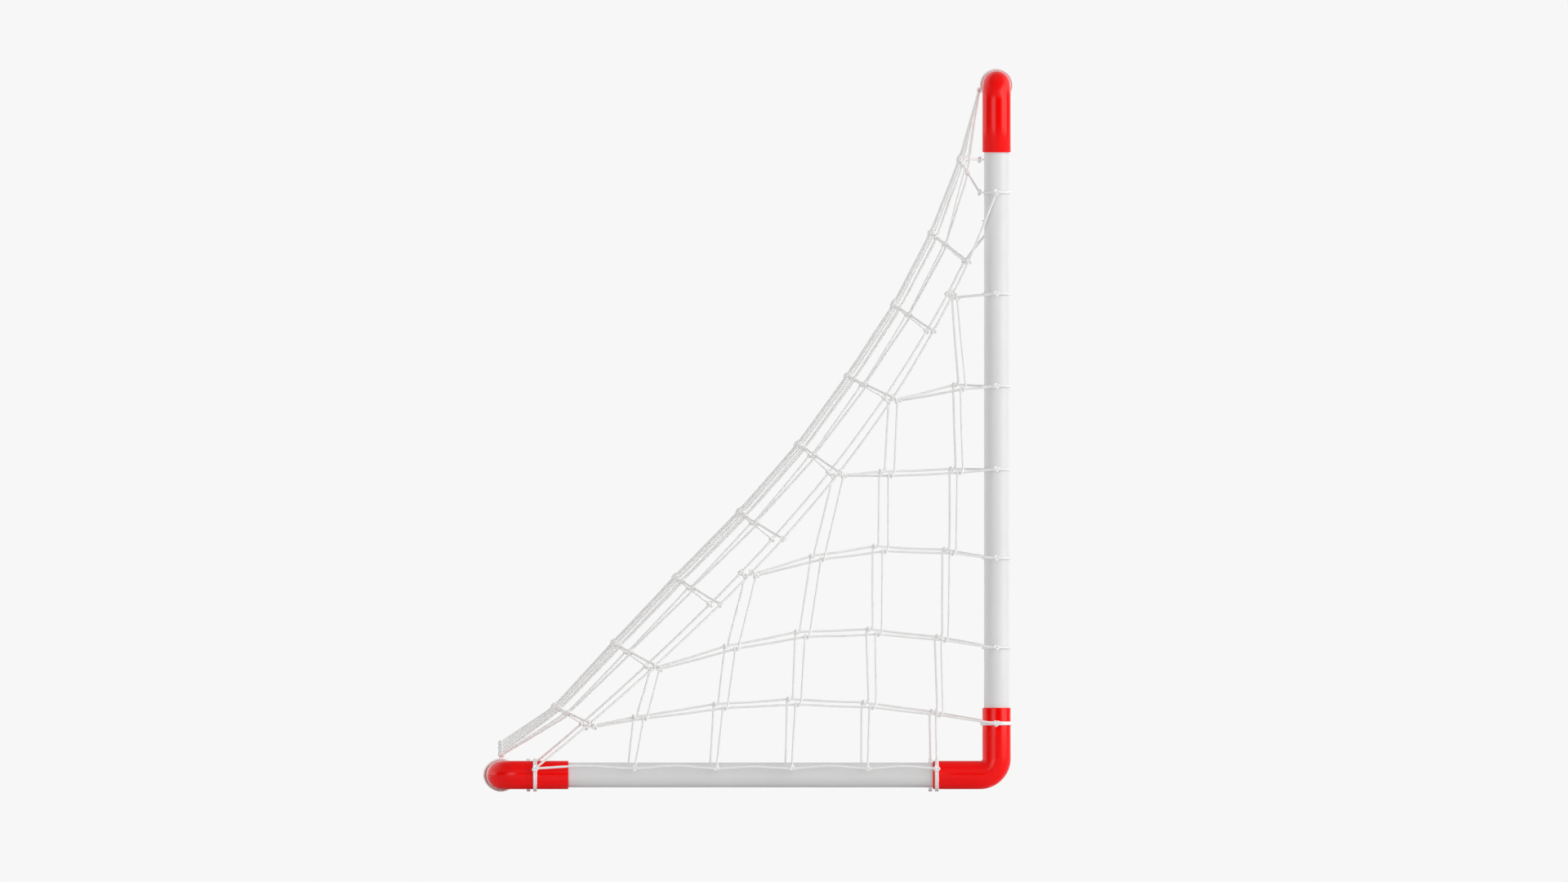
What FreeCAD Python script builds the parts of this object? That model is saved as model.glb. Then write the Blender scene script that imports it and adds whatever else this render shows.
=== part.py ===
import FreeCAD, Part
import Sketcher

import math
import os

# A full-height hockey goal: a push-fit frame of plastic pipe in moulded elbows, with a knotted cord net
# lashed to it. Millimetres, +Z up. The mouth faces -Y and the width runs along X. The origin is at the
# middle of the floor rectangle that the goal takes up, where the lowest lashings touch the ground.

Vector = FreeCAD.Vector
X, Y, Z = Vector(1, 0, 0), Vector(0, 1, 0), Vector(0, 0, 1)

SIZES = {
    # pipe frame
    "frame_width": 1828.8,       # outside of elbow to outside of elbow, along X
    "frame_depth": 889.0,        # along Y
    "frame_height": 1219.2,      # along Z
    "pipe_diameter": 42.2,
    "pipe_wall": 3.0,
    "elbow_diameter": 48.3,
    "elbow_leg": 114.0,          # from the corner point of the two axes to a socket's rim
    "elbow_base_leg": 108.0,     # the front bottom elbows' shorter leg along the floor
    "elbow_bend": 28.0,          # radius of the axis round the corner
    "socket_stop": 57.0,         # from the corner point to the step that the pipe stops at
    "socket_play": 0.1,          # radial clearance of the pipe in its socket
    "pipe_end_gap": 0.5,         # from a pipe's end to that step
    "rim_round": 1.0,
    # cords
    "cord_diameter": 4.0,
    "knot_diameter": 9.0,
    "lashing_gap": 0.2,          # between a lashing and the pipe that it goes round
    "knot_gap": 3.5,             # between a knot and the pipe behind it
    "cord_gap": 0.3,             # between two cords of different pieces
    "narrow_trim": 8.0,          # where two cords leave a knot at a narrow angle, how far one starts from it
    "stem_diameter": 6.0,        # the two strands that stand up from a back bar lashing
    # net
    "seam_sag": 114.0,           # how far the left corner seam hangs towards the mouth
    "seam_pull": 40.0,           # how far the back net pulls the corner seam in towards the middle
    "edge_column": 805.0,        # distance of the outermost back columns from the middle, along X
    "back_border_height": 80.0,
    "back_border_drop": 18.0,    # how much lower the back border is at the outermost columns
    "seam_foot_y": 363.0,        # the rear lashing on each base pipe
    "front_foot_y": -319.0,      # the front lashing on each base pipe
    "foot_knot_angle": 20.0,     # degrees above level, on the outer face of the base pipe
    "left_head_height": 1017.0,  # where each corner seam ends on its post
    "right_head_height": 969.0,
    "left_corner_height": 1017.0,    # where the back net's top row ends on each post
    "right_corner_height": 1073.0,
    # the right side net is tied a little further back and hangs a little higher than the left one
    "right_foot_shift": 11.0,
    "right_seam_lift": 12.0,
    "right_row_lift": 9.0,
    "right_column_bow": 4.0,
}

POST_TIE_HEIGHTS = [116, 244, 396, 547, 688, 845]    # one for each side row
SIDE_COLUMN_FEET = [-319, -202, -73, 55, 194]        # along Y, from the mouth
SIDE_COLUMN_BOWS = [-19, 0, 13, 7, 3]                # how far each column bows backwards at its middle
SIDE_ROW_ENDS = [116, 214, 372, 542, 669, 845]       # height of each side row where it meets the seam
SIDE_ROW_RISES = [35, 40, 26, -4, 4, 0]              # how far each side row arches above its two ends
BACK_ROW_HEIGHTS = [145, 253, 365, 475, 591, 706, 828, 949, 1074]   # at the middle of the back net
BACK_ROW_SAGS = [45, 67, 91, 119, 136, 136, 127, 102, 61]           # towards the mouth, from a straight slope
SEAM_ROW_HEIGHTS = [116, 214, 318, 429, 542, 669, 782, 900]         # where all but the top one meet the seam
BACK_COLUMNS = 12
EDGE_FADE = 0.87              # how fast the side nets' pull dies away from column to column
SAG_BLUNTNESS = 0.9
LEFT, RIGHT = -1, 1
SIDES = {"left": LEFT, "right": RIGHT}

doc = FreeCAD.newDocument("hockey_goal")
sheet = doc.addObject("Spreadsheet::Sheet", "Sizes")


def fill_sheet():
    """Write every driving dimension into the sheet under its own alias."""
    lists = {
        "post_tie_height": POST_TIE_HEIGHTS,
        "side_column_foot": SIDE_COLUMN_FEET,
        "side_column_bow": SIDE_COLUMN_BOWS,
        "side_row_end": SIDE_ROW_ENDS,
        "side_row_rise": SIDE_ROW_RISES,
        "back_row_height": BACK_ROW_HEIGHTS,
        "back_row_sag": BACK_ROW_SAGS,
        "seam_row_height": SEAM_ROW_HEIGHTS,
    }
    cells = dict(SIZES)
    for name, values in lists.items():
        for number, value in enumerate(values, 1):
            cells[f"{name}_{number}"] = value
    for row, (alias, value) in enumerate(cells.items(), 1):
        sheet.set(f"A{row}", alias)
        sheet.set(f"B{row}", str(value))
        sheet.setAlias(f"B{row}", alias)
    doc.recompute()


def size(alias):
    return float(sheet.get(alias))


def size_list(name, count):
    return [size(f"{name}_{number}") for number in range(1, count + 1)]


# ---------------------------------------------------------------- pipe frame

HALF_WIDTH = "(Sizes.frame_width - Sizes.elbow_diameter) / 2"
HALF_DEPTH = "(Sizes.frame_depth - Sizes.elbow_diameter) / 2"
BASE_HEIGHT = "(Sizes.elbow_diameter / 2 + Sizes.lashing_gap + Sizes.cord_diameter)"
TOP_HEIGHT = f"({BASE_HEIGHT} + Sizes.frame_height - Sizes.elbow_diameter)"
PIPE_END = "(Sizes.socket_stop + Sizes.pipe_end_gap)"


def origin_plane(body, role):
    for feature in body.Origin.OriginFeatures:
        if feature.Role == role:
            return feature
    raise ValueError(role)


def circle_sketch(body, name, role, diameters, offset="0"):
    """A sketch of circles about the plane's centre, its plane moved by offset; diameters are expressions."""
    sketch = body.newObject("Sketcher::SketchObject", name)
    sketch.AttachmentSupport = [(origin_plane(body, role), "")]
    sketch.MapMode = "FlatFace"
    sketch.setExpression(".AttachmentOffset.Base.z", offset)
    for number, diameter in enumerate(diameters):
        circle = sketch.addGeometry(Part.Circle(Vector(0, 0, 0), Z, 10 + number))
        sketch.addConstraint(Sketcher.Constraint("Coincident", circle, 3, -1, 1))
        constraint = sketch.addConstraint(Sketcher.Constraint("Diameter", circle, 20 + 2 * number))
        sketch.renameConstraint(constraint, f"diameter_{number + 1}")
        sketch.setExpression(f"Constraints.diameter_{number + 1}", diameter)
    return sketch


def place(body, position, x_axis, z_axis):
    """Turn the body so that its own X and Z axes point as given, and bind its origin to the sheet."""
    y_axis = z_axis.cross(x_axis)
    body.Placement = FreeCAD.Placement(FreeCAD.Matrix(
        x_axis.x, y_axis.x, z_axis.x, 0,
        x_axis.y, y_axis.y, z_axis.y, 0,
        x_axis.z, y_axis.z, z_axis.z, 0,
        0, 0, 0, 1))
    for letter, expression in zip("xyz", position):
        body.setExpression(f".Placement.Base.{letter}", expression)


def add_pipe(name, start, direction, length):
    """A straight length of pipe from start, as long as the expression says."""
    body = doc.addObject("PartDesign::Body", name)
    body.Label = name
    section = circle_sketch(body, name + "_section", "XY_Plane",
                            ["Sizes.pipe_diameter", "Sizes.pipe_diameter - 2 * Sizes.pipe_wall"])
    pad = body.newObject("PartDesign::Pad", name + "_extrusion")
    pad.Profile = section
    pad.setExpression("Length", length)
    side_axis = X if direction.x == 0 else Y
    place(body, start, side_axis, direction)


def elbow_path(body, name, first_leg):
    """The axis of an elbow in its own XZ plane: along X, round the corner and up Z."""
    path = body.newObject("Sketcher::SketchObject", name)
    path.AttachmentSupport = [(origin_plane(body, "XZ_Plane"), "")]
    path.MapMode = "FlatFace"
    bend, leg, base_leg = size("elbow_bend"), size("elbow_leg"), size("elbow_base_leg")
    reach = base_leg if "base" in first_leg else leg
    corner = Vector(bend, bend, 0)
    first = path.addGeometry(Part.LineSegment(Vector(reach, 0, 0), Vector(bend, 0, 0)))
    arc_circle = Part.Circle(corner, Z, bend)
    arc = path.addGeometry(Part.ArcOfCircle(arc_circle, math.pi, 1.5 * math.pi))
    second = path.addGeometry(Part.LineSegment(Vector(0, bend, 0), Vector(0, leg, 0)))
    for constraint in (
            Sketcher.Constraint("Tangent", first, 2, arc, 2),
            Sketcher.Constraint("Tangent", arc, 1, second, 1),
            Sketcher.Constraint("PointOnObject", first, 1, -1),
            Sketcher.Constraint("PointOnObject", first, 2, -1),
            Sketcher.Constraint("PointOnObject", second, 1, -2),
            Sketcher.Constraint("PointOnObject", second, 2, -2)):
        path.addConstraint(constraint)
    driving = {
        "bend": (Sketcher.Constraint("Radius", arc, bend), "Sizes.elbow_bend"),
        "first_leg": (Sketcher.Constraint("DistanceX", -1, 1, first, 1, reach), first_leg),
        "second_leg": (Sketcher.Constraint("DistanceY", -1, 1, second, 2, leg), "Sizes.elbow_leg"),
    }
    for label, (constraint, expression) in driving.items():
        path.renameConstraint(path.addConstraint(constraint), label)
        path.setExpression(f"Constraints.{label}", expression)
    return path


def add_elbow(name, position, first_axis, second_axis, first_leg="Sizes.elbow_leg"):
    """A moulded two-way elbow with a socket and an inner step in each leg."""
    body = doc.addObject("PartDesign::Body", name)
    body.Label = name
    path = elbow_path(body, name + "_path", first_leg)
    for kind, label, diameter in (
            ("PartDesign::AdditivePipe", "wall", "Sizes.elbow_diameter"),
            ("PartDesign::SubtractivePipe", "passage", "Sizes.pipe_diameter - 2 * Sizes.pipe_wall")):
        section = circle_sketch(body, f"{name}_{label}_section", "YZ_Plane", [diameter], first_leg)
        pipe = body.newObject(kind, f"{name}_{label}")
        pipe.Profile = section
        pipe.Spine = (path, [])
        doc.recompute()
    solid_volume = body.Shape.Volume
    for label, role, leg in (("first", "YZ_Plane", first_leg), ("second", "XY_Plane", "Sizes.elbow_leg")):
        section = circle_sketch(body, f"{name}_{label}_socket_section", role,
                                ["Sizes.pipe_diameter + 2 * Sizes.socket_play"], leg)
        socket = body.newObject("PartDesign::Pocket", f"{name}_{label}_socket")
        socket.Profile = section
        socket.setExpression("Length", f"{leg} - Sizes.socket_stop")
        doc.recompute()
    if body.Shape.Volume > solid_volume - 1000:
        raise RuntimeError(f"{name}: the sockets cut nothing")
    rims = []
    for number, edge in enumerate(body.Shape.Edges, 1):
        circle = edge.Curve
        if isinstance(circle, Part.Circle) and abs(circle.Radius - size("elbow_diameter") / 2) < 0.01:
            centre = body.Placement.inverse().multVec(circle.Center)
            if max(centre.x, centre.z) > size("socket_stop") and min(centre.x, centre.z) < 1:
                rims.append(f"Edge{number}")
    rounding = body.newObject("PartDesign::Fillet", name + "_rim_rounding")
    rounding.Base = (socket, rims)
    rounding.setExpression("Radius", "Sizes.rim_round")
    body.Tip = rounding
    place(body, position, first_axis, second_axis)


def add_frame():
    left, right = f"-{HALF_WIDTH}", HALF_WIDTH
    front, back = f"-{HALF_DEPTH}", HALF_DEPTH
    cross_length = f"2 * ({HALF_WIDTH} - {PIPE_END})"
    for side, x in (("left", left), ("right", right)):
        inwards = X if side == "left" else -X
        add_pipe(f"{side}_post", (x, front, f"{BASE_HEIGHT} + {PIPE_END}"), Z,
                 f"{TOP_HEIGHT} - {BASE_HEIGHT} - 2 * {PIPE_END}")
        add_pipe(f"{side}_base_pipe", (x, f"{front} + {PIPE_END}", BASE_HEIGHT), Y,
                 f"2 * ({HALF_DEPTH} - {PIPE_END})")
        add_elbow(f"{side}_top_elbow", (x, front, TOP_HEIGHT), inwards, -Z)
        add_elbow(f"{side}_front_elbow", (x, front, BASE_HEIGHT), Y, Z, "Sizes.elbow_base_leg")
        add_elbow(f"{side}_back_elbow", (x, back, BASE_HEIGHT), inwards, -Y)
    start = f"{left} + {PIPE_END}"
    add_pipe("crossbar", (start, front, TOP_HEIGHT), X, cross_length)
    add_pipe("back_bar", (start, back, BASE_HEIGHT), X, cross_length)


# ---------------------------------------------------------------- cords

def cylinder_between(start, end, diameter, start_trim=0.0, end_trim=0.0):
    along = (end - start).normalize()
    first = start + along * start_trim
    length = (end - start).Length - start_trim - end_trim
    return Part.makeCylinder(diameter / 2, length, first, along)


def knot_ball(point, facing, cords):
    """A knot with its poles along facing and its seam line clear of the cords, given as directions from it."""
    ahead = cords[0] - facing * cords[0].dot(facing)
    ahead.normalize()
    side = facing.cross(ahead)
    angles = sorted(math.atan2(cord.dot(side), cord.dot(ahead)) for cord in cords)
    gap, start = max((after - before, before) for before, after
                     in zip(angles, angles[1:] + [angles[0] + 2 * math.pi]))
    middle = start + gap / 2
    seam = ahead * math.cos(middle) + side * math.sin(middle)
    ball = Part.makeSphere(size("knot_diameter") / 2)
    ball.Placement = FreeCAD.Placement(point, FreeCAD.Rotation(seam, facing.cross(seam), facing, "ZXY"))
    return ball


def knotted_cords(links, anchors, facing, trim=None):
    """Cords along the links, with a knot at each shared end; at an anchor they stop short of its knot.

    Facing is a unit vector roughly square to the cords."""
    trim = trim or size("knot_diameter") / 2 + size("cord_gap")
    anchor_keys = {point_key(point) for point in anchors}
    solids, knots = [], {}
    for start, end in links:
        trims = []
        for point, other in ((start, end), (end, start)):
            key = point_key(point)
            trims.append(trim if key in anchor_keys else 0.0)
            if key not in anchor_keys:
                knots.setdefault(key, (point, []))[1].append((other - point).normalize())
        solids.append(cylinder_between(start, end, size("cord_diameter"), *trims))
    solids += [knot_ball(point, facing, cords) for point, cords in knots.values()]
    return solids[0].multiFuse(solids[1:]).removeSplitter()


def point_key(point):
    return round(point.x, 3), round(point.y, 3), round(point.z, 3)


def chain(points):
    return list(zip(points, points[1:]))


def lashing_radius(surface_diameter):
    return surface_diameter / 2 + size("lashing_gap") + size("cord_diameter") / 2


def knot_radius(surface_diameter):
    """Distance of a lashing knot's centre from the pipe's axis."""
    return surface_diameter / 2 + size("knot_gap") + size("knot_diameter") / 2


def lashing(centre, axis, surface_diameter, knots=()):
    """A ring of cord round a pipe, with its knots."""
    ring = Part.makeTorus(lashing_radius(surface_diameter), size("cord_diameter") / 2, centre, axis)
    for knot in knots:
        ring = ring.fuse(knot_ball(knot, axis, [(centre - knot).normalize()]))
    return ring


def add_piece(name, shape):
    piece = doc.addObject("Part::Feature", name)
    piece.Label = name
    piece.Shape = shape
    piece.Placement = FreeCAD.Placement()
    return piece


# ---------------------------------------------------------------- net

class Net:
    """The places of the net's knots, worked out from the sheet."""

    def __init__(self):
        self.half_width = (size("frame_width") - size("elbow_diameter")) / 2
        self.half_depth = (size("frame_depth") - size("elbow_diameter")) / 2
        self.base = size("elbow_diameter") / 2 + size("lashing_gap") + size("cord_diameter")
        self.top = self.base + size("frame_height") - size("elbow_diameter")
        self.pipe = size("pipe_diameter")
        self.elbow = size("elbow_diameter")
        self.post_ties = size_list("post_tie_height", len(POST_TIE_HEIGHTS))
        self.heads = {side: size(f"{name}_head_height") for name, side in SIDES.items()}
        self.corners = {side: size(f"{name}_corner_height") for name, side in SIDES.items()}
        self.foot_shift = {LEFT: 0.0, RIGHT: size("right_foot_shift")}
        self.seam_sag = {LEFT: size("seam_sag"), RIGHT: size("seam_sag") - size("right_seam_lift")}
        self.row_lift = {LEFT: 0.0, RIGHT: size("right_row_lift")}
        self.column_shift = {LEFT: 0.0, RIGHT: size("right_column_bow")}
        self.column_feet = size_list("side_column_foot", len(SIDE_COLUMN_FEET))
        self.column_bows = size_list("side_column_bow", len(SIDE_COLUMN_BOWS))
        self.row_ends = size_list("side_row_end", len(SIDE_ROW_ENDS))
        self.row_rises = size_list("side_row_rise", len(SIDE_ROW_RISES))
        self.back_heights = size_list("back_row_height", len(BACK_ROW_HEIGHTS))
        self.back_sags = size_list("back_row_sag", len(BACK_ROW_SAGS))
        self.seam_heights = size_list("seam_row_height", len(SEAM_ROW_HEIGHTS))
        foot_angle = math.radians(size("foot_knot_angle"))
        self.foot_x = self.half_width + knot_radius(self.elbow) * math.cos(foot_angle)
        self.foot_z = self.base + knot_radius(self.elbow) * math.sin(foot_angle)

    def surface_at_post(self, height):
        return self.elbow if height < self.base + size("elbow_leg") else self.pipe

    def post_knot(self, side, height):
        reach = self.half_width + knot_radius(self.surface_at_post(height))
        return Vector(side * reach, -self.half_depth, height)

    def corner_knot(self, side):
        """The knot behind each post that holds the end of the back net's top row."""
        return Vector(side * self.half_width, -self.half_depth + knot_radius(self.pipe), self.corners[side])

    def foot_knot(self, side, y):
        return Vector(side * self.foot_x, y + self.foot_shift[side], self.foot_z)

    def head_knot(self, side):
        return self.post_knot(side, self.heads[side])

    def seam_point(self, side, height):
        """A point of the corner seam. Both seams follow the line of one that ends at the left head's height."""
        foot = self.foot_knot(side, size("seam_foot_y"))
        head = self.post_knot(side, self.heads[LEFT])
        fraction = (height - foot.z) / (head.z - foot.z)
        point = foot + (head - foot) * fraction
        hang = max(0.0, math.sin(math.pi * fraction))
        point.y -= self.seam_sag[side] * hang ** SAG_BLUNTNESS
        point.x -= side * size("seam_pull") * hang
        return point

    def crossbar_knot(self, x):
        gap = lashing_radius(self.elbow) + size("cord_diameter") / 2 + size("cord_gap")
        return Vector(x, -self.half_depth + gap + size("knot_diameter") / 2, self.top)

    def back_column_x(self, column):
        edge = size("edge_column")
        return -edge + 2 * edge * (column - 1) / (BACK_COLUMNS - 1)

    def edge_share(self, column):
        """How far a back column goes along with the seam beside it, from 1 at the seam down to 0."""
        steps = min(column, BACK_COLUMNS + 1 - column)
        return math.exp(-EDGE_FADE * steps)

    def border_knot(self, column):
        drop = size("back_border_drop") * self.edge_share(column) / self.edge_share(1)
        return Vector(self.back_column_x(column), self.half_depth, size("back_border_height") - drop)

    def back_knot(self, column, row):
        """A knot of the back net; columns 0 and BACK_COLUMNS + 1 are its two edges."""
        side = LEFT if 2 * column <= BACK_COLUMNS else RIGHT
        if row > len(self.seam_heights):
            edge = self.corner_knot(side)
        else:
            edge = self.seam_point(side, self.seam_heights[row - 1])
        if column in (0, BACK_COLUMNS + 1):
            return edge
        x = self.back_column_x(column)
        foot = Vector(x, self.half_depth, size("back_border_height"))
        head = self.crossbar_knot(x)
        fraction = (self.back_heights[row - 1] - foot.z) / (head.z - foot.z)
        middle = foot + (head - foot) * fraction
        middle.y -= self.back_sags[row - 1]
        share = self.edge_share(column)
        return Vector(x, middle.y + (edge.y - middle.y) * share, middle.z + (edge.z - middle.z) * share)

    def side_seam_knot(self, side, row):
        """Where a side row and the column that ends on it are knotted, just inside the seam cord."""
        along = self.head_knot(side) - self.foot_knot(side, size("seam_foot_y"))
        inwards = Vector(0, -along.z, along.y).normalize()
        return self.seam_point(side, self.row_ends[row]) + inwards * (size("knot_diameter") + size("cord_gap"))

    def side_knot(self, side, row, column):
        """Where a side row crosses a side column, found by closing in on it along both."""
        post = self.post_knot(side, self.post_ties[row])
        end = self.side_seam_knot(side, row)
        foot = self.foot_knot(side, self.column_feet[column])
        head = self.side_seam_knot(side, len(self.row_ends) - 1 - column)
        rise = self.row_rises[row] + self.row_lift[side]
        bow = self.column_bows[column] + self.column_shift[side]
        lean = 2 if column == 0 else 1
        y = foot.y
        for _ in range(8):
            along = (y - post.y) / (end.y - post.y)
            z = post.z + (end.z - post.z) * along + rise * math.sin(math.pi * along)
            up = (z - foot.z) / (head.z - foot.z)
            y = foot.y + (head.y - foot.y) * up + bow * math.sin(math.pi * up ** lean)
        x = post.x + (end.x - post.x) * along ** 2
        return Vector(x, y, z)


def add_side_net(net, name, side):
    """Rows run from the post to the seam and columns from the floor to the seam."""
    rows, columns = len(net.row_ends), len(net.column_feet)
    anchors, links = [], []
    for row in range(rows):
        crossings = [net.side_knot(side, row, column) for column in range(min(columns, rows - 1 - row))]
        post = net.post_knot(side, net.post_ties[row])
        links += chain([post] + crossings + [net.side_seam_knot(side, row)])
        anchors.append(post)
    for column in range(columns):
        foot = net.foot_knot(side, net.column_feet[column])
        crossings = [net.side_knot(side, row, column) for row in range(rows - 1 - column)]
        links += chain([foot] + crossings + [net.side_seam_knot(side, rows - 1 - column)])
        anchors.append(foot)
    add_piece(f"{name}_side_net", knotted_cords(links, anchors, X))


def add_back_net(net):
    rows = len(net.back_heights)
    anchors, links = [], []
    for row in range(1, rows + 1):
        knots = [net.back_knot(column, row) for column in range(BACK_COLUMNS + 2)]
        links += chain(knots)
        anchors += [knots[0], knots[-1]]
    for column in range(1, BACK_COLUMNS + 1):
        ends = [net.border_knot(column), net.crossbar_knot(net.back_column_x(column))]
        knots = [net.back_knot(column, row) for row in range(1, rows + 1)]
        links += chain([ends[0]] + knots + [ends[1]])
        anchors += ends
    slope = net.crossbar_knot(0) - Vector(0, net.half_depth, size("back_border_height"))
    add_piece("back_net", knotted_cords(links, anchors, slope.cross(X).normalize()))


def add_borders(net):
    """The cords that edge the net: along the crossbar, the back bar, the base pipes and the two corners."""
    columns = range(1, BACK_COLUMNS + 1)
    top = [net.crossbar_knot(net.back_column_x(column)) for column in columns]
    bottom = [net.border_knot(column) for column in columns]
    add_piece("top_border_cord", knotted_cords(chain(top), [], Z))
    add_piece("back_border_cord", knotted_cords(chain(bottom), [], Y))
    for name, side in SIDES.items():
        seam_heights = sorted(set(net.seam_heights + net.row_ends))
        front, rear = net.foot_knot(side, size("front_foot_y")), net.foot_knot(side, size("seam_foot_y"))
        inner = [net.foot_knot(side, y) for y in net.column_feet[1:]]
        add_piece(f"{name}_base_border_cord", knotted_cords(chain([front] + inner + [rear]), [front, rear], X))
        head = net.head_knot(side)
        seam = [rear] + [net.seam_point(side, height) for height in seam_heights] + [head]
        add_piece(f"{name}_seam_cord", knotted_cords(chain(seam), [rear, head], X, size("narrow_trim")))


def add_lashings(net):
    """The cord rings that tie the net to the pipes, grouped by the pipe that they go round."""
    for name, side in SIDES.items():
        x = side * net.half_width
        posts = []
        outer_knots = net.post_ties + [net.heads[side]]
        for height in sorted(set(outer_knots + [net.corners[side]])):
            knots = [net.post_knot(side, height)] if height in outer_knots else []
            if height == net.corners[side]:
                knots.append(net.corner_knot(side))
            centre = Vector(x, -net.half_depth, height)
            posts.append(lashing(centre, Z, net.surface_at_post(height), knots))
        add_piece(f"{name}_post_lashings", Part.makeCompound(posts))
        feet = []
        for y in (size("front_foot_y"), size("seam_foot_y")):
            knot = net.foot_knot(side, y)
            feet.append(lashing(Vector(x, knot.y, net.base), Y, net.elbow, [knot]))
        add_piece(f"{name}_base_lashings", Part.makeCompound(feet))
    crossbar_rings, back_rings = [], []
    for column in range(1, BACK_COLUMNS + 1):
        x = net.back_column_x(column)
        surface = net.elbow if column in (1, BACK_COLUMNS) else net.pipe
        crossbar_rings.append(lashing(Vector(x, -net.half_depth, net.top), X, surface))
        ring = lashing(Vector(x, net.half_depth, net.base), X, surface)
        stem_foot = Vector(x, net.half_depth, net.base + lashing_radius(surface))
        stem_head = net.border_knot(column) - Z * (size("knot_diameter") / 2 + size("cord_gap"))
        if stem_head.z - stem_foot.z > size("knot_diameter"):
            ring = ring.fuse(cylinder_between(stem_foot, stem_head, size("stem_diameter")))
        back_rings.append(ring)
    add_piece("crossbar_lashings", Part.makeCompound(crossbar_rings))
    add_piece("back_bar_lashings", Part.makeCompound(back_rings))


def pieces():
    kinds = ("PartDesign::Body", "Part::Feature")
    return [item for item in doc.Objects if item.TypeId in kinds]


def check_and_write():
    doc.recompute()
    for item in doc.Objects:
        if "Invalid" in item.State or "Error" in item.State:
            raise RuntimeError(f"{item.Name}: {item.State}")
    os.makedirs("parts", exist_ok=True)
    for piece in pieces():
        shape = piece.Shape
        if shape.isNull() or not shape.isValid() or not shape.Solids:
            raise RuntimeError(f"{piece.Label}: not a valid solid")
        print(f"{piece.Label}: {len(shape.Solids)} solids, {shape.Volume / 1000:.1f} cm3")
    for piece in pieces():
        piece.Shape.exportStep(f"parts/{piece.Label}.step")


fill_sheet()
add_frame()
goal_net = Net()
add_back_net(goal_net)
for side_name, side_sign in SIDES.items():
    add_side_net(goal_net, side_name, side_sign)
add_borders(goal_net)
add_lashings(goal_net)
check_and_write()
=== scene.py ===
import math

import bpy
import numpy as np
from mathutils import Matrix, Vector


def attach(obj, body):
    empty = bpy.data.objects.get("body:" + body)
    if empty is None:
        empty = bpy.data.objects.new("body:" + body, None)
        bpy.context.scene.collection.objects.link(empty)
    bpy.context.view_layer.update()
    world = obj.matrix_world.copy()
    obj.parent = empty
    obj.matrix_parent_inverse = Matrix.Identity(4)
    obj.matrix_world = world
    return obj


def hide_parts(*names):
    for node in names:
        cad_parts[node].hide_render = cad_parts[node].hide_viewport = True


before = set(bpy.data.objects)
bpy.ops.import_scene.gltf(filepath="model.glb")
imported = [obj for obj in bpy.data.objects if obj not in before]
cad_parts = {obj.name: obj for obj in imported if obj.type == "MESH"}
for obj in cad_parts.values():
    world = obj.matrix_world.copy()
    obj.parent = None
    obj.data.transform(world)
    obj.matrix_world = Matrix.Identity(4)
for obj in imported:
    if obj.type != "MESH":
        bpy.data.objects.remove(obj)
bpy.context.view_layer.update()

# The goal's looks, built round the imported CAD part. Lengths are in millimetres up to the point where a mesh
# is made, and its vertices are then in metres. +Z is up, the mouth faces -Y and the width runs along X.

MM = 0.001
RNG = np.random.default_rng(7)
X, Y, Z = np.eye(3)
LEFT, RIGHT = -1, 1
SIDES = {"left": LEFT, "right": RIGHT}

# ---------------------------------------------------------------- sizes
# These are the CAD part's, apart from BACK_FEET and the hang of the crossbar's knots, which follow the photo

FRAME_WIDTH, FRAME_DEPTH, FRAME_HEIGHT = 1828.8, 889.0, 1219.2
PIPE, WALL, ELBOW = 42.2, 3.0, 48.3
# An elbow's legs, bend, socket depth, room round the pipe, room past the pipe's end and rounded rim
LEG, BASE_LEG, BEND, STOP, PLAY, END_GAP, RIM = 114.0, 108.0, 28.0, 57.0, 0.1, 0.5, 1.0
CORD, KNOT, LASHING_GAP, KNOT_GAP, CORD_GAP = 4.0, 9.0, 0.2, 3.5, 0.3
HALF_WIDTH, HALF_DEPTH = (FRAME_WIDTH - ELBOW) / 2, (FRAME_DEPTH - ELBOW) / 2
BASE = ELBOW / 2 + LASHING_GAP + CORD
TOP = BASE + FRAME_HEIGHT - ELBOW

# Where the net is tied and how it sags. Lists run from the floor up, front to back or from an end inwards
SEAM_SAG = {LEFT: 114.0, RIGHT: 102.0}
SEAM_PULL = 40.0
EDGE_COLUMN = 805.0
BACK_FEET = [62, 65, 70, 75, 80, 84]
SEAM_FOOT, FRONT_FOOT = 363.0, -319.0
FOOT_ANGLE = math.radians(20)
HEADS = {LEFT: 1017.0, RIGHT: 969.0}
CORNERS = {LEFT: 1017.0, RIGHT: 1073.0}
FOOT_SHIFT = {LEFT: 0.0, RIGHT: 11.0}
ROW_LIFT = {LEFT: 0.0, RIGHT: 9.0}
COLUMN_SHIFT = {LEFT: 0.0, RIGHT: 4.0}
POST_TIES = [116, 244, 396, 547, 688, 845]
COLUMN_FEET = [-319, -202, -73, 55, 194]
COLUMN_BOWS = [-19, 0, 13, 7, 3]
ROW_ENDS = [116, 214, 372, 542, 669, 845]
ROW_RISES = [35, 40, 26, -4, 4, 0]
BACK_HEIGHTS = [145, 253, 365, 475, 591, 706, 828, 949, 1074]
BACK_SAGS = [45, 67, 91, 119, 136, 136, 127, 102, 61]
SEAM_HEIGHTS = [116, 214, 318, 429, 542, 669, 782, 900]
BACK_COLUMNS = 12
EDGE_FADE, SAG_BLUNTNESS = 0.87, 0.9     # how fast the edges' pull fades inwards, and the seams' sag shape
HANG_CLOSER, HANG_DROP = 3, 10           # how the net's weight draws the knots under the crossbar
CLOSING_STEPS = 8                        # rounds of closing in on a crossing
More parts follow.
